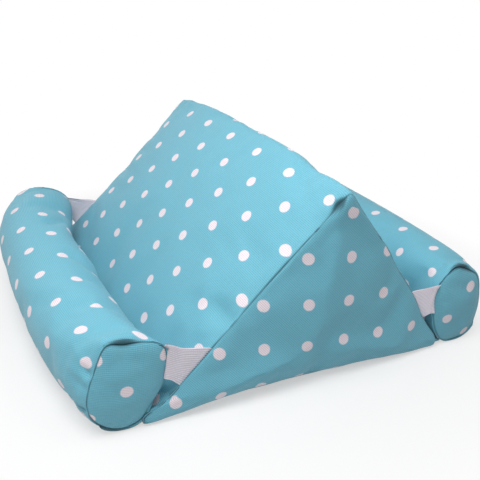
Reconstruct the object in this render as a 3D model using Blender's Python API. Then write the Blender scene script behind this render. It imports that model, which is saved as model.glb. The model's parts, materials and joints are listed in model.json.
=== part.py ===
"""Tablet cushion stand.

A stuffed wedge holds a tablet on either of its two slopes. A stuffed bolster is hinged along the
wedge's front edge and another along its rear edge, and each keeps the tablet from sliding off. Knitted
elastic straps at both ends of each bolster pull it back against the wedge.

Lengths are in metres and +Z is up. The slope that faces -Y is the front one, +X is to the right of
someone who reads a tablet on it, and the origin is on the floor below the middle of the stand.
"""

import math
from collections import namedtuple

import bpy
import numpy as np

# Cloth and sewing
CLOTH_THICKNESS = 0.0008
SEAM_GAP = 0.0003
FLOOR_FLAT = 0.0005

# Wedge, measured between its seams
WEDGE_LENGTH = 0.300
BASE_DEPTH = 0.240
RIDGE_SETBACK = 0.141
RIDGE_END_HEIGHT = 0.141
RIDGE_CROWN = 0.010
TOE_RADIUS = 0.0056
TOE_CREST_SETBACK = 0.0085
TOE_CREST_HEIGHT = 0.0131
TOE_CREASE_SETBACK = 0.0150
RIDGE_RADIUS = 0.009
RIDGE_END_RADIUS = 0.004
HEEL_RADIUS = 0.005
SLOPE_CROWN = 0.006
SEAM_DIP = 0.0018
END_SWELL = 0.007
END_DRAW = 0.003
EDGE_DRAW = 0.004
BASE_LIFT = 0.005

# Bolsters, each a little shorter than the wedge. A gutter bow is how far a tube's side towards the wedge
# bows away from it, half-way along.
BOLSTER_SHORTFALL = 0.004
CAP_DEPTH = 0.050
CAP_HEIGHT = 0.066
CAP_SWELL = 0.004
TUBE_DEPTH = 0.062
FRONT_TUBE_HEIGHT = 0.064
FRONT_PUFF = 0.004
FRONT_OVERHANG = 0.0158
FRONT_GUTTER_BOW = 0.0065
FRONT_SKEW = 0.0065
REAR_TUBE_HEIGHT = 0.071
REAR_PUFF = 0.006
REAR_OVERHANG = 0.0075
REAR_GUTTER_BOW = -0.0010
REAR_SKEW = 0.0

# Elastic straps, and the cloth webs that hinge the bolsters
STRAP_WIDTH = 0.025
STRAP_THICKNESS = 0.0012
STRAP_WAIST = 0.0012
SEWN_CLEARANCE = 0.0009
WEB_THICKNESS = 0.0016
WEB_HEIGHT = 0.0030

# Heights of the middle of the straps, as shares of the ridge's height at its ends and of the cap's height
FRONT_STRAP_SHARES = (0.255, 0.68)
REAR_STRAP_SHARES = (0.298, 0.67)

# How finely the skins are divided
SLOPE_STEPS = 8
REAR_STEPS = 7
BASE_STEPS = 6
SECTION_POINTS = 18
STRAP_STEPS = 6
RING_SMOOTHINGS = 3
WEDGE_HALF_STATION_SHARES = (0.0, 0.28, 0.55, 0.80, 0.94, 1.0)
BOLSTER_HALF_STATION_SHARES = (0.0, 0.30, 0.58, 0.80, 0.92, 0.975, 1.0)
END_RING_SHARES = (0.72, 0.36)
CAP_RING_SHARES = (0.60,)

# The height of an end panel's peak, as a share of the mean height of its outline
END_PEAK_SHARE = 0.6

# Directions on the rounded edges of the wedge's section, in degrees
TOE_ANGLES = (225, 180, 140)
RIDGE_ANGLES = (135, 100, 70, 35)
HEEL_ANGLES = (35, -5, -45)

# End caps as shares of half the cap's depth and height: outwards from the wedge, then up
FRONT_CAP_SHARES = (
    (0.45, 0.98), (-0.10, 1.00), (-0.68, 0.86), (-1.00, 0.52), (-0.93, 0.05), (-0.60, -0.45),
    (-0.28, -0.86), (-0.05, -1.00), (0.30, -0.93), (0.72, -0.72), (0.98, -0.38), (0.97, 0.05), (0.80, 0.60),
)
REAR_CAP_SHARES = (
    (0.53, 0.76), (0.15, 0.95), (-0.30, 1.00), (-0.80, 0.88), (-1.00, 0.45), (-0.97, -0.05),
    (-0.75, -0.55), (-0.45, -0.88), (-0.10, -1.00), (0.35, -1.00), (0.75, -0.90), (0.98, -0.60),
    (1.00, -0.25), (0.88, 0.20), (0.73, 0.54),
)

# Exponents of how full a shape stays towards the bolster's or wedge's ends, from 2 for an even curve
TUBE_ROUNDNESS = 2.2
PUFF_FULLNESS = 14
SECTION_FULLNESS = 4
CROWN_FULLNESS = 8
RIDGE_FULLNESS = 3

# Exponent of the sine that swells a slope between its corners: below 1, it swells early
SIDE_EXPONENT = 0.8

# The tube doesn't puff up towards the hinge: this is its direction in the section, in degrees
HINGE_DIRECTION = -135

# The base's end seam lifts as t * t * (1 - t), which peaks at 4 / 27 two thirds of the way to the toe
PEAK_OF_LIFT_SHARE = 4 / 27

# Faces that meet at less than about twice the angle with this tangent are offset as one smooth face
SMOOTH_BELOW = 0.2
SHADE_SHARP_ABOVE = 40
CAP_CURVE_STEPS = 12

# Outwards is -Y for the front bolster and +Y for the rear one
FRONT, REAR = -1, 1

HALF_WEDGE = WEDGE_LENGTH / 2
HALF_BOLSTER = (WEDGE_LENGTH - BOLSTER_SHORTFALL) / 2
FRONT_SET = CAP_DEPTH / 2 - FRONT_OVERHANG
REAR_SET = CAP_DEPTH / 2 - REAR_OVERHANG
FRONT_BOW = FRONT_GUTTER_BOW + (TUBE_DEPTH - CAP_DEPTH) / 2
REAR_BOW = REAR_GUTTER_BOW + (TUBE_DEPTH - CAP_DEPTH) / 2
FRONT_REACH = FRONT_SET + FRONT_SKEW / 2 + FRONT_BOW + TUBE_DEPTH / 2
REAR_REACH = REAR_SET + REAR_SKEW / 2 + REAR_BOW + TUBE_DEPTH / 2
FRONT_EDGE_Y = (FRONT_REACH - BASE_DEPTH - REAR_REACH) / 2
REAR_EDGE_Y = FRONT_EDGE_Y + BASE_DEPTH

# Colours as linear red, green and blue
AQUA = (0.135, 0.385, 0.455)
AQUA_SHADE = (0.115, 0.340, 0.405)
KNIT_WHITE = (0.720, 0.700, 0.740)
FIBRE_WHITE = (0.860, 0.850, 0.820)
CLOTH_ROUGHNESS = 0.9
FIBRE_ROUGHNESS = 1.0

Bolster = namedtuple(
    "Bolster", "name outwards cap_shares tube_height puff edge_y offset bow skew strap_shares"
)
BOLSTERS = (
    Bolster("front", FRONT, FRONT_CAP_SHARES, FRONT_TUBE_HEIGHT, FRONT_PUFF, FRONT_EDGE_Y, FRONT_SET,
            FRONT_BOW, FRONT_SKEW, FRONT_STRAP_SHARES),
    Bolster("rear", REAR, REAR_CAP_SHARES, REAR_TUBE_HEIGHT, REAR_PUFF, REAR_EDGE_Y, REAR_SET,
            REAR_BOW, REAR_SKEW, REAR_STRAP_SHARES),
)


class Skin:
    """A closed skin of triangles, each of which belongs to a named panel."""

    def __init__(self):
        self.points = []
        self.triangles = []
        self.panels = []

    def add_points(self, points):
        first = len(self.points)
        self.points += [tuple(p) for p in points]
        return list(range(first, len(self.points)))

    def add_triangle(self, a, b, c, panel):
        self.triangles.append((a, b, c))
        self.panels.append(panel)

    def add_quad(self, a, b, c, d, panel):
        self.add_triangle(a, b, c, panel)
        self.add_triangle(a, c, d, panel)

    def band(self, ring_a, ring_b, panel_of):
        """Join two closed rings; panel_of names the panel of each step round them."""
        count = len(ring_a)
        for i in range(count):
            k = (i + 1) % count
            self.add_quad(ring_a[i], ring_a[k], ring_b[k], ring_b[i], panel_of(i))

    def fan(self, ring, centre, panel):
        for i in range(len(ring)):
            self.add_triangle(ring[i], ring[(i + 1) % len(ring)], centre, panel)

    def face_outwards(self):
        p = np.array(self.points)
        t = np.array(self.triangles)
        volume = np.einsum("ij,ij->", p[t[:, 0]], np.cross(p[t[:, 1]], p[t[:, 2]]))
        if volume < 0:
            self.triangles = [(a, c, b) for a, b, c in self.triangles]

    def miters(self):
        """For each corner, the step that moves every face that meets there out by one unit."""
        p = np.array(self.points)
        meeting = [[] for _ in self.points]
        for triangle in self.triangles:
            a, b, c = (p[i] for i in triangle)
            normal = np.cross(b - a, c - a)
            normal = normal / np.linalg.norm(normal)
            for i in triangle:
                meeting[i].append(normal)
        steps = [np.linalg.lstsq(np.array(n), np.ones(len(n)), rcond=SMOOTH_BELOW)[0] for n in meeting]
        return np.array(steps)

    def inset(self, depth):
        return np.array(self.points) - depth * self.miters()


def rim_of(triangles):
    """Directed edges that only one of the triangles has."""
    edges = {(t[i], t[(i + 1) % 3]) for t in triangles for i in range(3)}
    return [e for e in edges if (e[1], e[0]) not in edges]


def rim_steps(points, triangles, rim):
    """For each corner on a panel's rim, the step that draws the rim in by one unit within the cloth."""
    normal_at = {}
    for t in triangles:
        a, b, c = (points[i] for i in t)
        normal = np.cross(b - a, c - a)
        for i in range(3):
            normal_at[(t[i], t[(i + 1) % 3])] = normal / np.linalg.norm(normal)
    inward = {}
    for a, b in rim:
        along = points[b] - points[a]
        step = np.cross(normal_at[(a, b)], along / np.linalg.norm(along))
        inward.setdefault(a, []).append(step)
        inward.setdefault(b, []).append(step)
    return {i: sum(n) / (1 + float(np.dot(n[0], n[-1]))) for i, n in inward.items()}


def colour_material(name, colour, roughness):
    material = bpy.data.materials.new(name)
    material.use_nodes = True
    shader = material.node_tree.nodes["Principled BSDF"]
    shader.inputs["Base Color"].default_value = (*colour, 1)
    shader.inputs["Roughness"].default_value = roughness
    shader.inputs["Metallic"].default_value = 0
    return material


def add_object(name, points, faces, colour, roughness):
    mesh = bpy.data.meshes.new(name)
    mesh.from_pydata([tuple(map(float, p)) for p in points], [], faces)
    mesh.validate()
    mesh.shade_smooth()
    mesh.set_sharp_from_angle(angle=math.radians(SHADE_SHARP_ABOVE))
    mesh.materials.append(colour_material(name, colour, roughness))
    obj = bpy.data.objects.new(name, mesh)
    bpy.context.scene.collection.objects.link(obj)
    return obj


def add_panel(name, skin, panel, colour):
    """A panel of cover cloth: its outer face, the same face one cloth deeper, and a rim between them."""
    outer = np.array(skin.points)
    inner = skin.inset(CLOTH_THICKNESS)
    triangles = [t for t, p in zip(skin.triangles, skin.panels) if p == panel]
    rim = rim_of(triangles)
    for i, step in rim_steps(outer, triangles, rim).items():
        outer[i] = outer[i] + step * SEAM_GAP
        inner[i] = inner[i] + step * SEAM_GAP
    outer[:, 2] = np.maximum(outer[:, 2], 0)
    used = sorted({i for t in triangles for i in t})
    place = {old: new for new, old in enumerate(used)}
    count = len(used)
    points = [outer[i] for i in used] + [inner[i] for i in used]
    faces = [tuple(place[i] for i in t) for t in triangles]
    faces += [tuple(place[i] + count for i in reversed(t)) for t in triangles]
    faces += [(place[b], place[a], place[a] + count, place[b] + count) for a, b in rim]
    return add_object(name, points, faces, colour, CLOTH_ROUGHNESS)


def add_filling(name, skin):
    points = skin.inset(CLOTH_THICKNESS + SEAM_GAP)
    return add_object(name, points, skin.triangles, FIBRE_WHITE, FIBRE_ROUGHNESS)


def mirrored_shares(half_shares):
    return [-s for s in reversed(half_shares) if s > 0] + list(half_shares)


def arc(centre, radius, angles):
    turns = [math.radians(a) for a in angles]
    return [(centre[0] + radius * math.cos(t), centre[1] + radius * math.sin(t)) for t in turns]


def side(start, end, steps, crown):
    """Points between two corners of the section, swollen to the left of the way from start to end."""
    dy, dz = end[0] - start[0], end[1] - start[1]
    length = math.hypot(dy, dz)
    points = []
    for k in range(1, steps):
        t = k / steps
        swell = crown * math.sin(math.pi * t) ** SIDE_EXPONENT
        points.append((start[0] + dy * t - dz / length * swell, start[1] + dz * t + dy / length * swell))
    return points


def wedge_section(share):
    """Section of the wedge from the toe's seam over the ridge and round the base, as (y, z, middle).

    The last value is 0 at the corners and 1 half-way along each side.
    """
    at_end = abs(share) == 1
    crown = SLOPE_CROWN * (1 - share ** CROWN_FULLNESS)
    drawn = EDGE_DRAW * (1 - share ** 2)
    ridge_height = RIDGE_END_HEIGHT + RIDGE_CROWN * (1 - abs(share) ** RIDGE_FULLNESS)
    ridge_radius = RIDGE_END_RADIUS + (RIDGE_RADIUS - RIDGE_END_RADIUS) * (1 - share ** 2)
    toe = arc((drawn + TOE_RADIUS, TOE_RADIUS), TOE_RADIUS, TOE_ANGLES)
    toe.append((drawn + TOE_CREST_SETBACK, TOE_CREST_HEIGHT))
    toe.append((drawn + TOE_CREASE_SETBACK, TOE_CREASE_SETBACK))
    ridge = arc((RIDGE_SETBACK, ridge_height - ridge_radius), ridge_radius, RIDGE_ANGLES)
    heel = arc((BASE_DEPTH - drawn - HEEL_RADIUS, HEEL_RADIUS), HEEL_RADIUS, HEEL_ANGLES)
    front = side(toe[-1], ridge[0], SLOPE_STEPS, crown - SEAM_DIP if at_end else crown)
    rear = side(ridge[-1], heel[0], REAR_STEPS, crown)
    heel_foot = (BASE_DEPTH - drawn - HEEL_RADIUS, 0.0)
    toe_foot = (drawn + TOE_RADIUS, 0.0)
    base = [heel_foot] + side(heel_foot, toe_foot, BASE_STEPS, 0.0) + [toe_foot]
    section = []
    for run, steps in ((toe, 0), (front, SLOPE_STEPS), (ridge, 0), (rear, REAR_STEPS), (heel, 0)):
        for k, (y, z) in enumerate(run):
            section.append((y, z, math.sin(math.pi * (k + 1) / steps) if steps else 0.0))
    for k, (y, z) in enumerate(base):
        t = k / BASE_STEPS
        lift = BASE_LIFT * (t ** 2 * (1 - t)) / PEAK_OF_LIFT_SHARE if at_end else 0.0
        section.append((y, z + lift, math.sin(math.pi * t)))
    return section


def make_wedge_skin():
    skin = Skin()
    rings = []
    sections = []
    for share in mirrored_shares(WEDGE_HALF_STATION_SHARES):
        section = wedge_section(share)
        drawn = [END_DRAW * middle if abs(share) == 1 else 0.0 for _, _, middle in section]
        x = share * HALF_WEDGE
        points = [
            (x - math.copysign(d, x), FRONT_EDGE_Y + y, z) for (y, z, _), d in zip(section, drawn)
        ]
        sections.append(points)
        rings.append(skin.add_points(points))
    base_start = len(sections[0]) - BASE_STEPS - 2
    for ring_a, ring_b in zip(rings, rings[1:]):
        skin.band(ring_a, ring_b, lambda i: "base" if i >= base_start else "slopes")
    for end, panel in ((0, "left_end"), (-1, "right_end")):
        outline = np.array(sections[end])
        centre = outline.mean(axis=0) * (1, 1, END_PEAK_SHARE)
        add_end(skin, rings[end], outline, centre, END_RING_SHARES, END_SWELL, panel)
    skin.face_outwards()
    return skin, sections


def add_end(skin, ring, outline, centre, ring_shares, swell, panel):
    """Close an end with a panel that swells outwards from its seam to a peak at the centre."""
    reverse = centre[0] < 0
    outwards = math.copysign(1, centre[0])
    inner_ring = ring
    for _ in range(RING_SMOOTHINGS):
        outline = (np.roll(outline, 1, axis=0) + 2 * outline + np.roll(outline, -1, axis=0)) / 4
    for f in ring_shares:
        points = centre + (outline - centre) * f
        points[:, 0] += outwards * swell * (1 - f ** 2)
        next_ring = skin.add_points(points)
        pair = (next_ring, inner_ring) if reverse else (inner_ring, next_ring)
        skin.band(*pair, lambda i: panel)
        inner_ring = next_ring
    centre[0] += outwards * swell
    tip = skin.add_points([centre])[0]
    last = list(reversed(inner_ring)) if reverse else inner_ring
    skin.fan(last, tip, panel)


def smooth_loop(points, steps):
    """A closed Catmull-Rom curve through the points."""
    p = np.array(points, float)
    count = len(p)
    curve = []
    for i in range(count):
        a, b, c, d = p[i - 1], p[i], p[(i + 1) % count], p[(i + 2) % count]
        slope = (c - a) / 2
        bend = a - 5 / 2 * b + 2 * c - d / 2
        twist = (3 * (b - c) + d - a) / 2
        for k in range(steps):
            t = k / steps
            curve.append(b + slope * t + bend * t ** 2 + twist * t ** 3)
    return np.array(curve)


def cap_radii(shares, angles):
    """Distance from the cap's centre to its seam in each direction."""
    curve = smooth_loop(shares, CAP_CURVE_STEPS) * (CAP_DEPTH / 2, CAP_HEIGHT / 2)
    turns = np.arctan2(curve[:, 1], curve[:, 0])
    order = np.argsort(turns)
    return np.interp(angles, turns[order], np.hypot(*curve.T)[order], period=2 * math.pi)


def tube_radii(height, angles):
    a, b, n = TUBE_DEPTH / 2, height / 2, TUBE_ROUNDNESS
    return (np.abs(np.cos(angles) / a) ** n + np.abs(np.sin(angles) / b) ** n) ** (-1 / n)


def section_angles():
    """Directions round a bolster's section, the same on both sides of straight down."""
    step = 2 * math.pi / SECTION_POINTS
    return -math.pi / 2 + step * (np.arange(SECTION_POINTS) + 0.5)


def make_bolster_skin(shape):
    """Skin of a bolster: rings along its bowed middle line, from a cap's outline to a round tube's."""
    angles = section_angles()
    cap = cap_radii(shape.cap_shares, angles)
    tube = tube_radii(shape.tube_height, angles)
    away = ((1 - np.cos(angles - math.radians(HINGE_DIRECTION))) / 2) ** 2
    skin = Skin()
    rings = []
    sections = []
    for share in mirrored_shares(BOLSTER_HALF_STATION_SHARES):
        round_part = 1 - share ** SECTION_FULLNESS
        puff = shape.puff * math.sqrt(1 - share ** PUFF_FULLNESS)
        radii = (cap + puff * away) * (1 - round_part) + tube * round_part
        offset = shape.offset + shape.bow * (1 - share ** 2) + shape.skew * (1 - share) / 2
        half_height = (CAP_HEIGHT * (1 - round_part) + shape.tube_height * round_part) / 2
        y = shape.edge_y + shape.outwards * (offset + radii * np.cos(angles))
        z = np.maximum(half_height - FLOOR_FLAT + radii * np.sin(angles), 0)
        x = np.full(len(angles), share * HALF_BOLSTER)
        points = np.stack([x, y, z], axis=1)
        sections.append(points)
        rings.append(skin.add_points(points))
    for ring_a, ring_b in zip(rings, rings[1:]):
        skin.band(ring_a, ring_b, lambda i: "tube")
    for end, panel in ((0, "left_cap"), (-1, "right_cap")):
        centre = sections[end].mean(axis=0)
        add_end(skin, rings[end], sections[end], centre, CAP_RING_SHARES, CAP_SWELL, panel)
    skin.face_outwards()
    return skin, sections


def crossing(ring, height, outwards):
    """Where a section crosses a height, on the side that faces outwards (+Y is 1, -Y is -1)."""
    ring = np.array(ring)
    found = []
    for a, b in zip(ring, np.roll(ring, -1, axis=0)):
        if (a[2] <= height) != (b[2] <= height):
            found.append(a + (b - a) * (height - a[2]) / (b[2] - a[2]))
    return max(found, key=lambda point: outwards * point[1])


def seam_run(ring, middle_height, outwards):
    """Evenly spaced points down a seam, centred on a height and as long as the strap is wide."""
    half = STRAP_WIDTH / 2
    heights = np.linspace(middle_height + half, middle_height - half, 2 * STRAP_STEPS + 1)
    run = np.array([crossing(ring, h, outwards) for h in heights])
    length = np.concatenate([[0], np.cumsum(np.linalg.norm(np.diff(run, axis=0), axis=1))])
    wanted = length[STRAP_STEPS] + np.linspace(-half, half, STRAP_STEPS + 1)
    wanted = np.clip(wanted, 0, length[-1])
    return np.stack([np.interp(wanted, length, run[:, axis]) for axis in range(3)], axis=1)


def add_strap(name, shape, wedge_ring, bolster_ring):
    """A flat strap between the wedge's end seam and the bolster's cap seam, waisted where it is stretched."""
    share_on_wedge, share_on_bolster = shape.strap_shares
    start = seam_run(wedge_ring, share_on_wedge * RIDGE_END_HEIGHT, shape.outwards)
    end = seam_run(bolster_ring, share_on_bolster * CAP_HEIGHT, -shape.outwards)
    clear_share = SEWN_CLEARANCE / np.linalg.norm(end.mean(axis=0) - start.mean(axis=0))
    across = np.linspace(1, -1, STRAP_STEPS + 1)[:, None]
    points = []
    for t in np.linspace(clear_share, 1 - clear_share, STRAP_STEPS + 1):
        row = start * (1 - t) + end * t
        down = (row[-1] - row[0]) / np.linalg.norm(row[-1] - row[0])
        points.append(row + across * down * STRAP_WAIST * math.sin(math.pi * t))
    points = np.concatenate(points)
    half_thick = np.array([STRAP_THICKNESS / 2, 0, 0])
    add_sheet(name, points + half_thick, points - half_thick, STRAP_STEPS + 1, KNIT_WHITE)


def add_sheet(name, top, bottom, columns, colour):
    """A thin closed sheet between two grids of points that run row by row."""
    skin = Skin()
    skin.add_points(top)
    skin.add_points(bottom)
    count = len(top)
    for first in range(0, count - columns, columns):
        for k in range(first, first + columns - 1):
            skin.add_quad(k, k + 1, k + 1 + columns, k + columns, "top")
            a, b, c, d = (i + count for i in (k, k + 1, k + 1 + columns, k + columns))
            skin.add_quad(a, d, c, b, "bottom")
    for a, b in rim_of([t for t, p in zip(skin.triangles, skin.panels) if p == "top"]):
        skin.add_quad(b, a, a + count, b + count, "edge")
    skin.face_outwards()
    add_object(name, skin.points, skin.triangles, colour, CLOTH_ROUGHNESS)


def ring_at(sections, x):
    """A section between two stations, at a place along X."""
    places = [float(np.mean([p[0] for p in s])) for s in sections]
    k = int(np.clip(np.searchsorted(places, x) - 1, 0, len(places) - 2))
    t = (x - places[k]) / (places[k + 1] - places[k])
    return np.array(sections[k]) * (1 - t) + np.array(sections[k + 1]) * t


def add_web(name, outwards, wedge_sections, bolster_sections):
    """The cloth web from the wedge's bottom edge to the bolster's underside, on which the bolster swings."""
    upper = WEB_HEIGHT + WEB_THICKNESS / 2
    lower = WEB_HEIGHT - WEB_THICKNESS / 2
    top, bottom = [], []
    for share in mirrored_shares(BOLSTER_HALF_STATION_SHARES):
        x = share * (min(HALF_WEDGE, HALF_BOLSTER) - SEAM_GAP)
        start = crossing(ring_at(wedge_sections, x), upper, outwards)[1] + outwards * SEWN_CLEARANCE
        end = crossing(ring_at(bolster_sections, x), upper + SEWN_CLEARANCE, -outwards)[1]
        for y in (start, (start + end) / 2, end):
            top.append((x, y, upper))
            bottom.append((x, y, lower))
    add_sheet(name, top, bottom, 3, AQUA_SHADE)


def remove_everything():
    for obj in list(bpy.data.objects):
        bpy.data.objects.remove(obj, do_unlink=True)


def add_hinge_empty(name, y, panels):
    """An empty on a hinge's axis that carries the bolster's pieces."""
    hinge = bpy.data.objects.new(name, None)
    hinge.location = (0, y, WEB_HEIGHT)
    bpy.context.scene.collection.objects.link(hinge)
    bpy.context.view_layer.update()
    for panel in panels:
        panel.parent = hinge
        panel.matrix_parent_inverse = hinge.matrix_world.inverted()


def make_bolster(name, skin, hinge_y):
    pieces = [
        add_panel(f"{name}_tube_cover", skin, "tube", AQUA),
        add_panel(f"{name}_right_cap", skin, "right_cap", AQUA),
        add_panel(f"{name}_left_cap", skin, "left_cap", AQUA),
        add_filling(f"{name}_filling", skin),
    ]
    add_hinge_empty(f"{name}_hinge", hinge_y, pieces)


def main():
    remove_everything()
    wedge, wedge_sections = make_wedge_skin()
    add_panel("wedge_slope_cover", wedge, "slopes", AQUA)
    add_panel("wedge_base_panel", wedge, "base", AQUA_SHADE)
    add_panel("wedge_right_end_panel", wedge, "right_end", AQUA)
    add_panel("wedge_left_end_panel", wedge, "left_end", AQUA)
    add_filling("wedge_filling", wedge)

    for shape in BOLSTERS:
        skin, sections = make_bolster_skin(shape)
        make_bolster(f"{shape.name}_bolster", skin, shape.edge_y)
        for hand, end in (("left", 0), ("right", -1)):
            add_strap(f"{shape.name}_{hand}_strap", shape, wedge_sections[end], sections[end])
        add_web(f"{shape.name}_hinge_web", shape.outwards, wedge_sections, sections)


main()
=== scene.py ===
"""Tablet cushion stand, dressed: stuffed dotted cloth, drawn-in seams with their stitches, ribbed elastic.

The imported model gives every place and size. Lengths are in metres and +Z is up. The slope that faces -Y is
the front one, and +X is to the right of someone who reads a tablet on it.
"""

import json
import math
from collections import namedtuple

import bmesh
import bpy
import numpy as np
from mathutils import Matrix, Vector, noise
from mathutils.bvhtree import BVHTree
from mathutils.geometry import barycentric_transform, closest_point_on_tri
from mathutils.kdtree import KDTree


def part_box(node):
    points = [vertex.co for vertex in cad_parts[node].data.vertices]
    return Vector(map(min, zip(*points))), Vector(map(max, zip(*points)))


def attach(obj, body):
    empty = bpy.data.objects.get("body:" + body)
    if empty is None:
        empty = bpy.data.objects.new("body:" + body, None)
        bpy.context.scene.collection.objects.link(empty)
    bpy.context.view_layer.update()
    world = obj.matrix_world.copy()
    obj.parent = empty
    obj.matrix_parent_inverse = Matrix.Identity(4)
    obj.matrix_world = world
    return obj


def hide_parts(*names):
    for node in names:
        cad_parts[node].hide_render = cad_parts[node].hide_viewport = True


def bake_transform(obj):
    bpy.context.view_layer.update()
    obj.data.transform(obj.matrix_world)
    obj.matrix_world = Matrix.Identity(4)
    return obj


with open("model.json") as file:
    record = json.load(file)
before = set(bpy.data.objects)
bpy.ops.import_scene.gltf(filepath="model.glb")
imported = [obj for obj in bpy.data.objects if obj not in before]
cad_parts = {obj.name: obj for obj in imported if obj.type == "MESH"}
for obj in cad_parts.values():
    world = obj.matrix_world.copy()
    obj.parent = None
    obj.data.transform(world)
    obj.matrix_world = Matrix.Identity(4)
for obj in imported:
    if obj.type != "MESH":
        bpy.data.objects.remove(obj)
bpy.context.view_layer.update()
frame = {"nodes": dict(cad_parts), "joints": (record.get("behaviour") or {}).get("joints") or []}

bl_info = {
    "name": "Tablet cushion stand",
    "version": (1, 0, 0),
    "blender": (4, 5, 0),
    "location": "3D View > Sidebar > Cushion stand",
    "description": "Makes the cushions, seams, elastics and stage of a tablet cushion stand",
    "category": "Object",
}

# What the meshes carry: a point's own place on the cloth, how much a seam's painted shade darkens it, and
# its place across a sheet or the ways across a seam and out of it
CLOTH_UV = "cloth"
SEAM_SHADE = "seam"
ACROSS = "across"
OUTWARDS = "outwards"

# The cloth's outer side, from the filling's surface
COVER_DEPTH = 0.0011

# Corners that are closer together than this are one
WELD = 0.00001

# An edge belongs to a ring round the section where its share along X is less than this
RING_EDGE_SHARE = 0.3

# Distance between the points that stand for a seam
SEAM_STEP = 0.0007

# A sheet's face looks a given way where its normal's share that way is more than this
FACING_SHARE = 0.5

# The simulated cloth: how it weighs, stretches and bends, and the share of a cell's size below which it
# stands on the floor
CLOTH_PHYSICS = {
    "quality": 6,
    "mass": 0.2,
    "tension_stiffness": 40,
    "compression_stiffness": 40,
    "shear_stiffness": 20,
    "bending_stiffness": 6,
}
FLOOR_SHARE = 0.25

# The fine cloth is dented like this many points of the simulated cloth near it. The softness keeps a point
# that lies right beside it from outweighing the rest.
NEAR_POINTS = 6
NEAR_SOFTNESS = 0.0008

# A seam's groove: its half width as a share of the turned edge, how unevenly it is drawn in, and how much a
# tuck adds to its rounded shoulders and to the width of its dark line of painted shade
GROOVE_SHARE = 0.5
UNEVENNESS = 0.3
SHOULDER_TUCK = 0.2
SHADE_LINE_TUCK = 2.0

# A fold starts this many turned edges away from a seam, and has faded out this many reaches from its middle
FOLD_START = 1.5
FOLD_END = 3

# Points along an elastic, and across each of its ribs. A lean below 1 makes it bow up most on the wedge's
# side of its middle, and the fade is how quickly its sink ends away from the wedge.
STRAP_ROWS = 36
RIB_POINTS = 6
BOW_LEAN = 0.8
SINK_FADE = 3

# Points across a hinge web and along it
WEB_ROWS = 5
WEB_COLUMNS = 121

# How much the stitches differ in length, as a share of it, and how many sides and steps make up one
STITCH_SPREAD = 0.15
STITCH_SIDES = 6

# The floor's depth below the stand, which keeps their faces apart
FLOOR_DEPTH = 0.0003

# The dots stand on a lattice that is turned by 45 degrees to the threads. A pattern says where one dot's
# centre lies and how far it is from there to two of its neighbours, in the panel's own two directions.
Pattern = namedtuple("Pattern", "anchor step_one step_two")

# A soft trough in a panel's cloth between two points, with how far it reaches and how deep it is. A depth
# below zero is a bulge.
Fold = namedtuple("Fold", "start end reach depth")

# A panel of a cushion: its CAD node, how its cloth lies, its pattern, its folds and its material slot.
# Cloth that goes round the section is measured along X and round from the hinge, an end's along Y and Z,
# and a base's along X and Y.
Panel = namedtuple("Panel", "node lies pattern folds slot", defaults=((), "cover_cloth"))

# A place round which a seam is drawn in this many times deeper than elsewhere, and its painted shade widened
Tuck = namedtuple("Tuck", "place reach times")

# The stuffing pushes the cloth and its seams round a place this way
Push = namedtuple("Push", "place way reach")

# A cushion: where its hinge lies, and the way along Y in which it faces away from the stand's middle
Cushion = namedtuple("Cushion", "name body filling hinge_y outwards panels tucks pushes")

# An elastic's CAD node, the bolster that it holds, and how much lower than the node it is sewn in
Strap = namedtuple("Strap", "node cushion lower")

Lamp = namedtuple("Lamp", "name place target size power")


def edge_y(name):
    """The Y of a hinge's axis."""
    return next(j for j in frame["joints"] if j["name"] == name)["pos_m"][1]


FRONT_Y = edge_y("front_hinge")
REAR_Y = edge_y("rear_hinge")

WEDGE = Cushion(
    "wedge_cushion", "wedge", "wedge_filling", FRONT_Y, -1,
    (
        Panel(
            "wedge_slope_cover", "round",
            Pattern((0.1172, -0.0362, 0.0932), (0.024, 0.0213), (0.024, -0.0213)),
            (
                Fold((0.128, -0.061, 0.064), (0.15, -0.0555, 0.062), 0.0065, 0.0022),
                Fold((0.105, -0.058, 0.069), (0.122, -0.064, 0.06), 0.01, -0.0012),
                Fold((0.104, 0.0108, 0.1394), (0.1265, 0.0046, 0.1312), 0.005, 0.001),
                Fold((0.136, -0.104, 0.0155), (0.15, -0.096, 0.022), 0.003, 0.002),
                Fold((0.142, -0.113, 0.011), (0.15, -0.105, 0.017), 0.0025, 0.0015),
                Fold((-0.15, -0.04, 0.08), (-0.128, -0.046, 0.074), 0.007, 0.0022),
                Fold((-0.15, -0.012, 0.109), (-0.134, -0.014, 0.106), 0.006, 0.0018),
                Fold((0.145, 0.017, 0.14), (0.145, 0.008, 0.131), 0.005, -0.0016),
            )),
        Panel(
            "wedge_right_end_panel", "end",
            Pattern((0.1536, -0.0043, 0.0678), (0.0312, -0.003), (0.0009, -0.0316)),
            (
                Fold((0.149, 0.0062, 0.005), (0.151, 0.0062, 0.012), 0.006, 0.0015),
            )),
        Panel("wedge_left_end_panel", "end",
              Pattern((-0.1536, 0.008, 0.056), (0.031, 0.002), (0.0006, -0.031))),
        Panel("wedge_base_panel", "base",
              Pattern((0, 0, 0), (0.0217, 0.0217), (0.0217, -0.0217)), (), "base_cloth"),
    ),
    (Tuck((0.15, 0.013, 0.1355), 0.0046, 2.2), Tuck((-0.15, 0.019, 0.14), 0.01, 1.4)),
    (
        Push((0.15, 0.056, 0.096), (0, 0.0045, 0), 0.03),
        Push((0.15, 0.088, 0.054), (0, 0.0045, 0), 0.028),
        Push((0.15, 0.118, 0.012), (0, 0.002, 0), 0.014),
    ),
)
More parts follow.
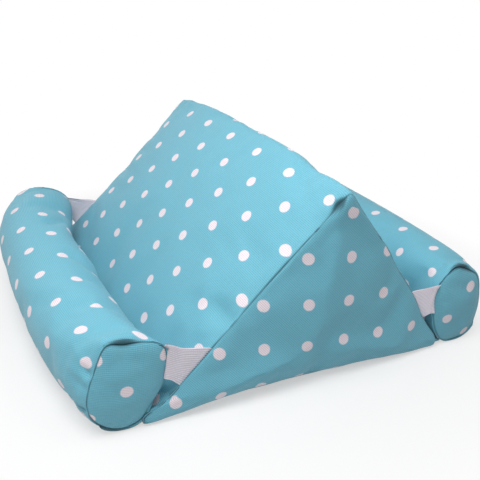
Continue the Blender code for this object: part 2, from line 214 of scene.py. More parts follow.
FRONT_BOLSTER = Cushion(
    "front_bolster_cushion", "front_bolster", "front_bolster_filling", FRONT_Y, -1,
    (
        Panel(
            "front_bolster_tube_cover", "round",
            Pattern((0.0763, -0.1542, 0.0603), (0.0217, 0.021), (0.0217, -0.021)),
            (
                Fold((-0.072, -0.12, 0.057), (-0.058, -0.135, 0.0625), 0.0058, 0.0028),
                Fold((0.012, -0.129, 0.06), (0.026, -0.115, 0.051), 0.0065, 0.0027),
                Fold((0.051, -0.1275, 0.0605), (0.053, -0.119, 0.055), 0.005, 0.0018),
                Fold((0.13, -0.15, 0.05), (0.149, -0.1495, 0.0468), 0.003, 0.0024),
                Fold((0.132, -0.156, 0.02), (0.149, -0.153, 0.0215), 0.0025, 0.0028),
                Fold((0.135, -0.155, 0.04), (0.149, -0.152, 0.0375), 0.0035, 0.0012),
                Fold((0.144, -0.137, 0.0665), (0.144, -0.12, 0.0665), 0.006, -0.0014),
            )),
        Panel("front_bolster_right_cap", "end",
              Pattern((0.1519, -0.1283, 0.0333), (0.023, 0.017), (0.018, -0.024))),
        Panel("front_bolster_left_cap", "end",
              Pattern((-0.1519, -0.13, 0.04), (0.024, 0.018), (0.018, -0.024))),
    ),
    (Tuck((0.149, -0.127, 0.068), 0.0075, 1.3), Tuck((0.148, -0.14, 0.006), 0.014, 0.6)),
    (
        Push((0.15, -0.128, 0.0336), (0.0014, 0, 0), 0.03),
        Push((0.15, -0.104, 0.057), (0.001, 0.0054, 0.0026), 0.012),
        Push((0.14, -0.106, 0.025), (0, 0.0026, 0), 0.014),
        Push((0.15, -0.105, 0.03), (0, 0.0022, 0), 0.016),
        Push((0.15, -0.119, 0.006), (0, 0.0034, -0.001), 0.011),
        Push((0.15, -0.139, 0.066), (0, -0.0008, 0.0024), 0.008),
        Push((0.15, -0.151, 0.025), (0, 0.0006, 0), 0.016),
        Push((0.15, -0.149, 0.052), (0, 0.0026, -0.0003), 0.015),
        Push((-0.138, -0.102, 0.045), (0, 0.0095, 0), 0.036),
        Push((-0.1, -0.166, 0.033), (0, -0.0042, 0), 0.04),
        Push((-0.15, -0.128, 0.066), (0, 0, -0.0026), 0.026),
        Push((-0.15, -0.086, 0.056), (0, 0, -0.0045), 0.022),
        Push((0, -0.103, 0.056), (0, 0.005, 0), 0.026),
    ),
)
REAR_BOLSTER = Cushion(
    "rear_bolster_cushion", "rear_bolster", "rear_bolster_filling", REAR_Y, 1,
    (
        Panel(
            "rear_bolster_tube_cover", "round",
            Pattern((0.0756, 0.1376, 0.07), (0.0197, 0.0208), (0.0197, -0.0208)),
            (
                Fold((0.145, 0.13, 0.067), (0.145, 0.143, 0.066), 0.005, -0.0015),
                Fold((0.06, 0.128, 0.068), (0.064, 0.146, 0.072), 0.008, 0.0015),
            )),
        Panel("rear_bolster_right_cap", "end",
              Pattern((0.1506, 0.1273, 0.0257), (0.0182, 0.0238), (0.0238, -0.0182))),
        Panel("rear_bolster_left_cap", "end",
              Pattern((-0.1506, 0.14, 0.036), (0.02, 0.023), (0.023, -0.02))),
    ),
    (Tuck((0.148, 0.136, 0.066), 0.01, 1.2),),
    (
        Push((0.15, 0.1386, 0.0328), (0.0014, 0, 0), 0.03),
        Push((0.15, 0.133, 0.0655), (0, 0, 0.0044), 0.01),
        Push((0.15, 0.154, 0.056), (0, 0.001, 0.002), 0.01),
        Push((0.15, 0.113, 0.045), (0, -0.003, 0.001), 0.014),
    ),
)

STRAPS = (
    Strap("front_right_strap", FRONT_BOLSTER, 0),
    Strap("front_left_strap", FRONT_BOLSTER, 0.0042),
    Strap("rear_right_strap", REAR_BOLSTER, 0),
    Strap("rear_left_strap", REAR_BOLSTER, 0),
)

# A soft lamp over the near front, a weak one over the rear bolster and a wide one from the left
LAMPS = (
    Lamp("key_light", (0.24, -0.24, 0.60), (0.04, -0.03, 0.06), 0.35, 4.0),
    Lamp("rear_light", (0.22, 0.18, 0.53), (0.05, 0.10, 0.06), 0.30, 0.5),
    Lamp("side_light", (-1.2, -0.4, 0.65), (0, 0, 0.06), 1.0, 4.0),
)


# The kinds of setting that a user may change
def a_length(name, description, default):
    return bpy.props.FloatProperty(name=name, description=description, default=default, unit="LENGTH")


def a_share(name, description, default):
    return bpy.props.FloatProperty(name=name, description=description, default=default, subtype="FACTOR")


def a_number(name, description, default):
    return bpy.props.FloatProperty(name=name, description=description, default=default)


def a_count(name, description, default):
    return bpy.props.IntProperty(name=name, description=description, default=default)


def a_colour(name, description, default):
    return bpy.props.FloatVectorProperty(
        name=name, description=description, default=default, size=3, subtype="COLOR")


def a_place(name, description, default):
    return bpy.props.FloatVectorProperty(
        name=name, description=description, default=default, size=3, subtype="XYZ")


class ClothSettings(bpy.types.PropertyGroup):
    colour: a_colour("Cloth", "Colour of the cover cloth", (0.134, 0.424, 0.540))
    base_colour: a_colour("Base cloth", "Colour of the plain cloth underneath", (0.115, 0.385, 0.490))
    dot_colour: a_colour("Dots", "Colour of the printed dots", (0.790, 0.695, 0.745))
    dot_diameter: a_length("Dot diameter", "Width of a printed dot", 0.0082)
    dot_step: a_length("Dot step", "Half the distance between dots along a thread", 0.0217)
    thread_pitch: a_length("Thread pitch", "Distance between the threads of the weave", 0.00125)
    gloss: a_share("Gloss", "How much the threads shine", 0.42)
    weave_height: a_length("Weave height", "How far the threads stand out of the cloth", 0.00018)


class StuffingSettings(bpy.types.PropertyGroup):
    voxel: a_length("Cloth grid", "Size of the cells in which the cloth is simulated", 0.004)
    pressure: a_number("Pressure", "How hard the filling pushes the cloth out", 4.0)
    dents: a_number("Dents", "How strongly the stuffing's dents show", 0.42)
    swell_rounds: a_count(
        "Swell rounds", "How widely the even swelling is averaged before it is taken out", 120)
    spare_cloth: a_share("Spare cloth", "How much larger the cloth is cut than the shape", 0.03)
    most_move: a_length("Most move", "How far the stuffing may move the cloth", 0.004)
    still: a_length("Still beside seams", "How far from a seam the dents fade out", 0.006)
    held: a_length("Held beside seams", "Width of the cloth that a seam holds still", 0.003)
    frames: a_count("Frames", "How many frames the cloth is simulated for", 20)
    fill: a_share("Fill", "From 0, slack, to 1, tight", 0.75)


class SeamSettings(bpy.types.PropertyGroup):
    depth: a_length("Depth", "How far a seam is drawn in", 0.0010)
    fold: a_length("Fold", "Width of the turned edge beside a seam", 0.0015)
    # The dark line is painted shade in the seam's groove
    line: a_length("Dark line", "Half the width of the dark line in a seam", 0.00085)
    shoulder: a_length("Shoulder", "How far the cloth rounds off towards a seam", 0.0009)
    shoulder_reach: a_length("Shoulder reach", "How far from a seam the cloth rounds off", 0.0028)
    pucker: a_length("Pucker", "Height of the puckers that run away from a seam", 0.0008)
    pucker_reach: a_length("Pucker reach", "How far the puckers run", 0.012)
    pucker_pitch: a_length("Pucker pitch", "Distance between the puckers", 0.014)
    stitch_pitch: a_length("Stitch pitch", "Distance between stitches", 0.0028)
    stitch_length: a_length("Stitch length", "How far a stitch spans across its seam", 0.0014)
    thread: a_length("Thread", "Thickness of the thread", 0.00035)
    thread_level: a_share("Thread level", "How high the thread lies in its groove, from 0 to 1", 0.45)
    unseen_below: a_length("Unseen below", "Seams that lie lower than this get no stitches", 0.0015)
    thread_colour: a_colour("Thread colour", "Colour of the sewing thread", (0.030, 0.140, 0.180))


class WebSettings(bpy.types.PropertyGroup):
    thickness: a_length("Web", "Thickness of the folded cloth of a hinge web", 0.0015)
    tuck: a_length("Web tuck", "How far a web runs in under each cushion", 0.0015)
    waves: a_length("Waves", "Height of the waves along a web", 0.0008)
    wave_length: a_length("Wave length", "Distance between those waves", 0.025)


class ElasticSettings(bpy.types.PropertyGroup):
    colour: a_colour("Elastic", "Colour of the knitted elastic", (0.820, 0.770, 0.850))
    thickness: a_length("Thickness", "Thickness of the elastic", 0.0011)
    bow: a_length("Bow", "How far the elastic's upper edge bows up", 0.0014)
    spread: a_length("Spread", "How far the elastic spreads each way along the wedge's seam", 0.0022)
    ribs: a_count("Ribs", "How many ribs run along the elastic", 20)
    rib_height: a_length("Rib height", "How far the ribs stand out", 0.00035)
    tuck: a_length("Tuck", "How far the elastic runs into each seam", 0.0022)
    sink: a_length("Sink", "How far behind the wedge's end panel the elastic is sewn in", 0.0016)


class StageSettings(bpy.types.PropertyGroup):
    floor_colour: a_colour("Floor", "Colour of the floor", (0.72, 0.72, 0.72))
    ambient: a_share("Ambient", "Strength of the light from all round", 0.25)
    floor_reach: a_length("Floor reach", "Half the width of the floor", 6.0)
    shadow_reach: a_length("Shadow reach", "How far out the floor shows the shadow in full", 0.17)
    shadow_fade: a_length("Shadow fade", "The width over which the shadow fades to white", 0.14)
    shadow_share: a_share("Shadow share", "How strongly the floor shows its shadow, from 0 to 1", 0.5)
    camera_place: a_place("Camera", "Where the camera stands", (0.4450, -0.2023, 0.2700))
    camera_azimuth: a_number("Azimuth", "The camera's way round the stand, in degrees", 63.47)
    camera_elevation: a_number("Elevation", "How far the camera looks down, in degrees", 24.31)
    camera_roll: a_number("Roll", "How far the camera is tilted to its right, in degrees", 2.54)
    sensor: a_number("Sensor", "Width of the camera's sensor in millimetres", 36)
    lens: a_number("Lens", "Focal length in millimetres", 45.69)


SETTINGS = {
    "stand_cloth": ClothSettings,
    "stand_stuffing": StuffingSettings,
    "stand_seams": SeamSettings,
    "stand_web": WebSettings,
    "stand_elastic": ElasticSettings,
    "stand_stage": StageSettings,
}


# The sockets of a Mix node that mixes colours
MIX_SHARE, MIX_A, MIX_B = 0, 6, 7


class Value:
    """A node's output, on which arithmetic adds Math nodes."""

    def __init__(self, graph, socket):
        self.graph = graph
        self.socket = socket

    def out(self, name):
        return Value(self.graph, self.socket.node.outputs[name])

    def math(self, operation, *others):
        return self.graph.add("ShaderNodeMath", {"operation": operation}, dict(enumerate((self, *others))))

    def __add__(self, other):
        return self.math("ADD", other)

    __radd__ = __add__

    def __sub__(self, other):
        return self.math("SUBTRACT", other)

    def __rsub__(self, other):
        return (self * -1) + other

    def __mul__(self, other):
        return self.math("MULTIPLY", other)

    __rmul__ = __mul__

    def __truediv__(self, other):
        return self.math("DIVIDE", other)

    def __mod__(self, other):
        return self.math("FLOORED_MODULO", other)

    def hump(self):
        """0 at whole numbers and 1 half-way between them."""
        return (self * math.pi).math("SINE").math("ABSOLUTE")

    def clamped(self):
        return self.graph.add("ShaderNodeClamp", {}, {"Value": self})


class Graph:
    """A node tree that is built by naming each node's kind, its settings and what goes into it."""

    def __init__(self, tree):
        self.tree = tree

    def add(self, kind, settings=None, inputs=None):
        """Add a node with these settings, then its inputs, and give its first output."""
        node = self.tree.nodes.new(kind)
        for name, value in (settings or {}).items():
            setattr(node, name, value)
        for key, value in (inputs or {}).items():
            self.put(node.inputs[key], value)
        return Value(self, next(s for s in node.outputs if s.enabled and not s.is_unavailable))

    def put(self, socket, value):
        if isinstance(value, Value):
            self.tree.links.new(value.socket, socket)
        else:
            socket.default_value = value

    def mix(self, share, a, b):
        """Colour a where share is 0 and b where it is 1."""
        a, b = (colour if isinstance(colour, Value) else (*colour, 1) for colour in (a, b))
        return self.add("ShaderNodeMix", {"data_type": "RGBA"}, {MIX_SHARE: share, MIX_A: a, MIX_B: b})

    def add_output(self, geometry):
        node = self.tree.nodes.new("NodeGroupOutput")
        self.put(node.inputs["Geometry"], geometry)

    def noise(self, vector, scale, detail=2.0):
        return self.add("ShaderNodeTexNoise", {}, {"Vector": vector, "Scale": scale, "Detail": detail})


# How strongly a matt surface mirrors what it faces
MATT_GLOSS = 0.25


def new_material(name, roughness, sheen):
    """A material whose shader has these constants, and its graph and shader."""
    material = bpy.data.materials.new(name)
    material.use_nodes = True
    shader = material.node_tree.nodes["Principled BSDF"]
    shader.inputs["Roughness"].default_value = roughness
    shader.inputs["Sheen Weight"].default_value = sheen
    shader.inputs["Specular IOR Level"].default_value = MATT_GLOSS
    return material, Graph(material.node_tree), shader


# The weave: how much of a thread's height depends on where along it a point lies, how fine a slub's noise
# is across and along the threads, and how much slubs and lumps add to the height
THREAD_CROWN = 0.45
SLUB_ACROSS = 0.9
SLUB_ALONG = 0.03
SLUB_HEIGHT = 0.5
LUMP_HEIGHT = 0.6
LUMP_SCALE = 260.0
PATCH_SCALE = 28.0

# The cloth's tone deep between its threads, which is painted shade, and what the rest adds to it: painted
# light on the threads' crowns and the weft's middles, and slubs and patches that vary at random
DEEP_SHADE_TONE = 0.48
CROWN_LIGHT_TONE = 0.34
WEFT_LIGHT_TONE = 0.36
SLUB_TONE = 0.20
PATCH_TONE = 0.14

# A printed dot: how its edge wobbles and softens, and how much lighter than the cloth it prints
WOBBLE = 0.0006
WOBBLE_SCALE = 900.0
DOT_EDGE = 0.0007
DOT_TONE = 1.02

# The painted shade deep in a seam's groove: its colour, and how much of it shows there
SEAM_SHADE_COLOUR = (0.004, 0.045, 0.062)
SEAM_SHADE_SHARE = 0.93


def cloth_material(name, colour, dotted):
    """Plain-woven cloth, with dots printed on it where it is dotted."""
    cloth = bpy.context.scene.stand_cloth
    material, graph, shader = new_material(name, roughness=0.65, sheen=0.12)
    shader.inputs["Specular IOR Level"].default_value = cloth.gloss
    place = graph.add("ShaderNodeUVMap", {"uv_map": CLOTH_UV}, {})
    flat = graph.add("ShaderNodeSeparateXYZ", {}, {"Vector": place})
    u, v = flat, flat.out("Y")
    body = graph.add("ShaderNodeTexCoord").out("Object")

    # Threads: each crossing shows the one that lies on top
    across, along = u / cloth.thread_pitch, v / cloth.thread_pitch
    warp, weft = across.hump(), along.hump()
    over = (across.math("FLOOR") + along.math("FLOOR")) % 2
    flank = 1 - THREAD_CROWN
    height = over * warp * (flank + weft * THREAD_CROWN) + (1 - over) * weft * (flank + warp * THREAD_CROWN)

    # Slubs: long, thin noise along each set of threads
    slub_warp, slub_weft = (
        graph.noise(graph.add("ShaderNodeCombineXYZ", {}, {"X": across * x, "Y": along * y}), 1.0)
        for x, y in ((SLUB_ACROSS, SLUB_ALONG), (SLUB_ALONG, SLUB_ACROSS)))
    slub = over * slub_warp + (1 - over) * slub_weft
    patches = graph.noise(body, PATCH_SCALE, 3.0) - 0.5

    # Thread height and weft paint light on the crowns and shade in the gaps; slubs and patches vary at
    # random
    tone = DEEP_SHADE_TONE + height * CROWN_LIGHT_TONE + weft * WEFT_LIGHT_TONE + slub * SLUB_TONE + patches * PATCH_TONE
    cloth_with_thread_shade = graph.mix(tone, (0, 0, 0), colour)
    if dotted:
        whole = 2 * cloth.dot_step
        wobble = (graph.noise(place, WOBBLE_SCALE, 1.0) - 0.5) * WOBBLE

        def from_dot(shift):
            a = (u / whole + shift) % 1 - 0.5
            b = (v / whole + shift) % 1 - 0.5
            return (a * a + b * b).math("SQRT") * whole

        nearest = from_dot(0.5).math("MINIMUM", from_dot(0.0)) + wobble
        dot = ((cloth.dot_diameter / 2 - nearest) / DOT_EDGE + 0.5).clamped()
        printed = graph.mix(tone * DOT_TONE, (0, 0, 0), cloth.dot_colour)
        cloth_with_thread_shade = graph.mix(dot, cloth_with_thread_shade, printed)
    # Painted shade along the seams' grooves darkens the cloth there
    crease = graph.add("ShaderNodeAttribute", {"attribute_name": SEAM_SHADE}, {}).out("Fac")
    graph.put(shader.inputs["Base Color"], graph.mix(crease * SEAM_SHADE_SHARE, cloth_with_thread_shade, SEAM_SHADE_COLOUR))

    lumps = graph.noise(body, LUMP_SCALE)
    relief = height + slub * SLUB_HEIGHT + lumps * LUMP_HEIGHT
    bump = graph.add("ShaderNodeBump", {}, {
        "Strength": 0.9, "Distance": cloth.weave_height, "Height": relief})
    graph.put(shader.inputs["Normal"], bump)
    return material


# The elastic: distance between its knitted loops, the tone between its ribs, which is painted shade, and
# what the rest adds to it: painted light on the crowns of its ribs and loops, and a random fuzz
LOOP_PITCH = 0.0009
GROOVE_SHADE_TONE = 0.62
RIDGE_LIGHT_TONE = 0.26
LOOP_TONE = 0.10
FUZZ_TONE = 0.10
FUZZ_SCALE = 700.0
LOOP_HEIGHT = 0.0002


def elastic_material():
    """Knitted elastic: rows of small loops along each rib."""
    elastic = bpy.context.scene.stand_elastic
    material, graph, shader = new_material("ribbed_elastic", roughness=0.85, sheen=0.2)
    place = graph.add("ShaderNodeUVMap", {"uv_map": CLOTH_UV}, {})
    flat = graph.add("ShaderNodeSeparateXYZ", {}, {"Vector": place})
    rib = flat.out("Y") * elastic.ribs
    loops = (flat / LOOP_PITCH + (rib.math("FLOOR") % 2) * 0.5).hump()
    ridge = rib.hump()
    fuzz = graph.noise(graph.add("ShaderNodeTexCoord").out("Object"), FUZZ_SCALE)
    # Painted shade in the grooves between the ribs and loops, painted light on their crowns, random fuzz
    tone = GROOVE_SHADE_TONE + ridge * RIDGE_LIGHT_TONE + loops * ridge * LOOP_TONE + fuzz * FUZZ_TONE
    graph.put(shader.inputs["Base Color"], graph.mix(tone, (0.02, 0.02, 0.03), elastic.colour))
    bump = graph.add("ShaderNodeBump", {}, {
        "Strength": 0.5, "Distance": LOOP_HEIGHT, "Height": loops * ridge + fuzz * 0.5})
    graph.put(shader.inputs["Normal"], bump)
    return material


# The thread: how fine its twist is, and its tone between and on the strands
TWIST_SCALE = 3000.0
STRAND_TONE = 0.7
TWIST_TONE = 0.5


def thread_material():
    """Twisted polyester thread."""
    seams = bpy.context.scene.stand_seams
    material, graph, shader = new_material("sewing_thread", roughness=0.6, sheen=0.1)
    twist = graph.noise(graph.add("ShaderNodeTexCoord").out("Object"), TWIST_SCALE, 1.0)
    tone = STRAND_TONE + twist * TWIST_TONE
    graph.put(shader.inputs["Base Color"], graph.mix(tone, (0, 0, 0), seams.thread_colour))
    return material


def material_named(name, make):
    """The material of this name, made when it is first asked for."""
    return bpy.data.materials.get(name) or make()


def cloth_for(slot):
    """The cloth of the cover or of the base."""
    cloth = bpy.context.scene.stand_cloth
    name, colour, dotted = {
        "cover_cloth": ("dotted_cloth", cloth.colour, True),
        "base_cloth": ("plain_cloth", cloth.base_colour, False),
    }[slot]
    return material_named(name, lambda: cloth_material(name, colour, dotted))


def show(name, mesh):
    """A new object in the scene."""
    obj = bpy.data.objects.new(name, mesh)
    bpy.context.scene.collection.objects.link(obj)
    return obj


def plain_mesh(obj, name):
    """The object's mesh as its modifiers leave it; the object itself goes."""
    graph = bpy.context.evaluated_depsgraph_get()
    mesh = bpy.data.meshes.new_from_object(obj.evaluated_get(graph), depsgraph=graph)
    mesh.name = name
    bpy.data.objects.remove(obj)
    return mesh


def finished(obj, name):
    """The object under this name, with what its modifiers do in its mesh."""
    mesh = plain_mesh(obj, name)
    mesh.shade_smooth()
    return show(name, mesh)


def faces_of(mesh):
    """A mesh's faces, to be worked on."""
    bm = bmesh.new()
    bm.from_mesh(mesh)
    return bm


def mesh_of(bm, name):
    """A mesh of the faces that were worked on."""
    mesh = bpy.data.meshes.new(name)
    bm.to_mesh(mesh)
    bm.free()
    return mesh


def add_subdivision(obj, levels):
    """Divide the object's faces this often, in a render too."""
    modifier = obj.modifiers.new("Subdivision", "SUBSURF")
    modifier.levels = modifier.render_levels = levels


def add_wall(obj, thickness):
    """Give a sheet its thickness, behind the side that it shows."""
    wall = obj.modifiers.new("Solidify", "SOLIDIFY")
    wall.thickness = thickness
    wall.offset = -1


def subdivided(bm, levels):
    """The same cloth in finer faces. Seams stay sharp."""
    crease = bm.edges.layers.float.get("crease_edge") or bm.edges.layers.float.new("crease_edge")
    for edge in bm.edges:
        edge[crease] = 1.0 if is_seam(edge) else 0.0
    obj = show("cloth", mesh_of(bm, "cloth"))
    add_subdivision(obj, levels)
    return faces_of(plain_mesh(obj, "cloth"))


def is_seam(edge):
    """Whether two panels meet at this edge."""
    faces = edge.link_faces
    return len(faces) == 2 and faces[0].material_index != faces[1].material_index


def tree_of(node):
    """A tree in which the closest place on a CAD node is found."""
    mesh = frame["nodes"][node].data
    return BVHTree.FromPolygons([v.co for v in mesh.vertices], [p.vertices for p in mesh.polygons])


def cage_of(cushion):
    """A cushion's skin in a few faces: its filling's, moved out to the outer side of the cloth."""
    bm = faces_of(frame["nodes"][cushion.filling].data)
    bmesh.ops.remove_doubles(bm, verts=bm.verts, dist=WELD)
    trees = [tree_of(panel.node) for panel in cushion.panels]
    for face in bm.faces:
        centre = face.calc_center_median()
        gaps = [tree.find_nearest(centre)[3] for tree in trees]
        face.material_index = gaps.index(min(gaps))
    bm.normal_update()
    moved = [v.co + v.normal * v.calc_shell_factor() * COVER_DEPTH for v in bm.verts]
    for vertex, place in zip(bm.verts, moved):
        vertex.co = place
    bmesh.ops.join_triangles(
        bm, faces=bm.faces, cmp_materials=True, angle_face_threshold=math.pi, angle_shape_threshold=math.pi)
    return bm


def rings_round(faces):
    """Chains of corners that go round the section, as {corner: its neighbours in the chain}."""
    links = {}
    for edge in {e for face in faces for e in face.edges}:
        a, b = edge.verts
        if abs(a.co.x - b.co.x) < RING_EDGE_SHARE * edge.calc_length():
            links.setdefault(a, []).append(b)
            links.setdefault(b, []).append(a)
    rings = []
    left = set(links)
    while left:
        ring = [left.pop()]
        for corner in ring:
            for other in links[corner]:
                if other in left:
                    left.remove(other)
                    ring.append(other)
        rings.append({corner: links[corner] for corner in ring})
    return rings


def ways_round(ring, cushion):
    """How far each corner of a ring is from the hinge along the cloth, and the ring's whole length."""
    ends = [c for c, near in ring.items() if len(near) == 1]
    start = min(ends or ring, key=lambda c: math.hypot(c.co.y - cushion.hinge_y, c.co.z))
    path = [start, max(ring[start], key=lambda c: cushion.outwards * c.co.y)]
    while True:
        onward = [c for c in ring[path[-1]] if c not in path[-2:] and c is not start]
        if not onward:
            break
        path.append(onward[0])
    ways = {start: 0.0}
    for a, b in zip(path, path[1:]):
        ways[b] = ways[a] + (b.co - a.co).length
    whole = ways[path[-1]] + (0.0 if ends else (path[-1].co - start.co).length)
    return ways, whole, bool(ends)


def lay_flat(cushion, faces, lies):
    """The panel's own two lengths at each corner of its faces, as {(face, corner): (a, b)}."""
    if lies != "round":
        first, second = (1, 2) if lies == "end" else (0, 1)
        corners = ((face, loop.vert) for face in faces for loop in face.loops)
        return {(face, corner): (corner.co[first], corner.co[second]) for face, corner in corners}
    way, turn = {}, {}
    measured = [ways_round(ring, cushion) for ring in rings_round(faces)]
    usual = sum(whole for _, whole, _ in measured) / len(measured)
    for ways, whole, is_open in measured:
        stretch = 1.0 if is_open else usual / whole
        for corner, length in ways.items():
            way[corner] = length * stretch
            turn[corner] = None if is_open else usual
    flat = {}
    for face in faces:
        longest = max(way[loop.vert] for loop in face.loops)
        for loop in face.loops:
            corner = loop.vert
            length = way[corner]
            if turn[corner] and longest - length > turn[corner] / 2:
                length += turn[corner]
            flat[(face, corner)] = (corner.co.x, length)
    return flat


def flat_place_of(point, flat):
    """The panel's own two lengths at a point that lies on it."""
    point = Vector(point)
    best = None
    for face in {face for face, _ in flat}:
        corners = [loop.vert for loop in face.loops]
        for k in range(1, len(corners) - 1):
            three = (corners[0], corners[k], corners[k + 1])
            near = closest_point_on_tri(point, *(c.co for c in three))
            if best is None or (near - point).length < best[0]:
                best = ((near - point).length, near, face, three)
    _, near, face, three = best
    flats = [Vector((*flat[(face, c)], 0)) for c in three]
    return barycentric_transform(near, *(c.co for c in three), *flats)


def print_pattern(bm, cushion):
    """Write each corner's own place on the cloth, with a dot's centre at the panel's anchor."""
    layer = bm.loops.layers.uv.new(CLOTH_UV)
    step = bpy.context.scene.stand_cloth.dot_step
    for index, panel in enumerate(cushion.panels):
        faces = [f for f in bm.faces if f.material_index == index]
        flat = lay_flat(cushion, faces, panel.lies)
        start = flat_place_of(panel.pattern.anchor, flat)
        one, two = panel.pattern.step_one, panel.pattern.step_two
        steps = Matrix(((one[0], two[0]), (one[1], two[1])))
        turn = Matrix(((step, step), (step, -step))) @ steps.inverted()
        for face in faces:
            for loop in face.loops:
                a, b = flat[(face, loop.vert)]
                loop[layer].uv = turn @ Vector((a - start.x, b - start.y))


def tree_of_points(points):
    """A tree in which the points near a place are found."""
    tree = KDTree(len(points))
    for k, point in enumerate(points):
        tree.insert(point, k)
    tree.balance()
    return tree


def seam_tree(bm):
    """Points all along the seams, close together, in a tree."""
    points = []
    for edge in bm.edges:
        if is_seam(edge):
            a, b = (v.co for v in edge.verts)
            count = max(2, math.ceil((b - a).length / SEAM_STEP))
            points += [a.lerp(b, k / count) for k in range(count)]
    return tree_of_points(points)


def stuffed(bm):
    """Simulate the cloth under the filling's pressure: its points, and how far each one dents outwards."""
    stuffing = bpy.context.scene.stand_stuffing
    seams = seam_tree(bm)
    mesh = bpy.data.meshes.new("stuffed")
    bm.to_mesh(mesh)
    obj = show("stuffed", mesh)
    remesh = obj.modifiers.new("Remesh", "REMESH")
    remesh.mode = "VOXEL"
    remesh.voxel_size = stuffing.voxel
    obj = show("stuffed", plain_mesh(obj, "stuffed"))
    start = np.array([v.co for v in obj.data.vertices])
    normals = np.array([v.normal for v in obj.data.vertices])
    edges = np.array([e.vertices for e in obj.data.edges])
    held = obj.vertex_groups.new(name="held")
    for k, place in enumerate(start):
        on_floor = place[2] < stuffing.voxel * FLOOR_SHARE
        if on_floor or seams.find(place)[2] < stuffing.held:
            held.add([k], 1.0, "REPLACE")
    cloth = obj.modifiers.new("Cloth", "CLOTH")
    settings = cloth.settings
    for name, value in CLOTH_PHYSICS.items():
        setattr(settings, name, value)
    settings.use_pressure = True
    settings.uniform_pressure_force = stuffing.pressure
    settings.shrink_min = -stuffing.spare_cloth
    settings.vertex_group_mass = held.name
    settings.effector_weights.gravity = 0
    cloth.point_cache.frame_end = stuffing.frames
    for k in range(1, stuffing.frames + 1):
        bpy.context.scene.frame_set(k)
    end = np.array([v.co for v in plain_mesh(obj, "stuffed").vertices])
    bpy.context.scene.frame_set(1)
    rise = np.sum((end - start) * normals, axis=1)
    dents = stuffing.dents * (rise - averaged(rise, edges, stuffing.swell_rounds))
    return start, np.clip(dents, -stuffing.most_move, stuffing.most_move)


def averaged(values, edges, rounds):
    """The values, each of them averaged again and again with those beside it."""
    a, b = edges.T
    size = len(values)
    count = np.bincount(a, minlength=size) + np.bincount(b, minlength=size)
    for _ in range(rounds):
        beside = np.bincount(a, values[b], size) + np.bincount(b, values[a], size)
        values = (values + beside / count) / 2
    return values


def follow(bm, start, dents):
    """Dent the fine cloth as the simulated cloth beside it dents."""
    tree = tree_of_points(start)
    seams = seam_tree(bm)
    still = bpy.context.scene.stand_stuffing.still
    bm.normal_update()
    for vertex in bm.verts:
        near = tree.find_n(vertex.co, NEAR_POINTS)
        weights = np.array([1 / (gap + NEAR_SOFTNESS) ** 2 for _, _, gap in near])
        dent = float(dents[[k for _, k, _ in near]] @ weights / weights.sum())
        free = 1 - math.exp(-(seams.find(vertex.co)[2] / still) ** 2)
        vertex.co += vertex.normal * dent * free


def pushed(point, cushion):
    """How far the stuffing pushes a point of a cushion."""
    way = Vector()
    for push in cushion.pushes:
        way += Vector(push.way) * math.exp(-((point - Vector(push.place)).length / push.reach) ** 2)
    return way


def push_out(bm, cushion):
    """Move the cloth round the places at which the stuffing pushes it."""
    for vertex in bm.verts:
        vertex.co += pushed(vertex.co, cushion)


def hold_seams(bm, cushion):
    """Add rows of faces beside each seam, so that the cloth can turn in sharply there."""
    fold = bpy.context.scene.stand_seams.fold
    for width in (fold, fold / 3):
        for index in range(len(cushion.panels)):
            faces = [f for f in bm.faces if f.material_index == index]
            made = bmesh.ops.inset_region(
                bm, faces=faces, thickness=width,
                use_even_offset=True, use_boundary=True, use_interpolate=True)
            for face in made["faces"]:
                face.material_index = index


def draw_in_seams(bm, tucks):
    """Pull the seams in, round the cloth off towards them, run puckers away from them and mark their painted
    shade.
    """
    seams = bpy.context.scene.stand_seams
    tree = seam_tree(bm)
    layer = bm.verts.layers.float.new(SEAM_SHADE)
    bm.normal_update()
    for vertex in bm.verts:
        place, _, gap = tree.find(vertex.co)
        wave = noise.noise(place / seams.pucker_pitch)
        tuck = sum(t.times * math.exp(-((place - Vector(t.place)).length / t.reach) ** 2) for t in tucks)
        width = seams.fold * GROOVE_SHARE * (1 + tuck)
        draw = math.exp(-(gap / width) ** 2)
        shoulder = math.exp(-gap / seams.shoulder_reach)
        pucker = math.exp(-gap / seams.pucker_reach) * (1 - draw)
        drop = seams.depth * draw * (1 + UNEVENNESS * wave + tuck)
        drop += seams.shoulder * shoulder * (1 + SHOULDER_TUCK * tuck)
        vertex.co += vertex.normal * (seams.pucker * pucker * wave - drop)
        vertex.co.z = max(vertex.co.z, 0.0)
        # How much the painted shade of the seam darkens this point; a tuck widens that shade
        vertex[layer] = math.exp(-(gap / (seams.line * (1 + SHADE_LINE_TUCK * tuck))) ** 4)


def fold_in(bm, cushion):
    """Press the folds into the cloth."""
    seams = seam_tree(bm)
    clear = FOLD_START * bpy.context.scene.stand_seams.fold
    bm.normal_update()
    for index, panel in enumerate(cushion.panels):
        cloth = [v for v in bm.verts if any(face.material_index == index for face in v.link_faces)]
        for fold in panel.folds:
            start = Vector(fold.start)
            run = Vector(fold.end) - start
            for vertex in cloth:
                share = min(max((vertex.co - start).dot(run) / run.length_squared, 0), 1)
                gap = (vertex.co - start - run * share).length
                if gap < FOLD_END * fold.reach:
                    free = 1 - math.exp(-(seams.find(vertex.co)[2] / clear) ** 2)
                    vertex.co -= vertex.normal * fold.depth * free * math.exp(-(gap / fold.reach) ** 2)


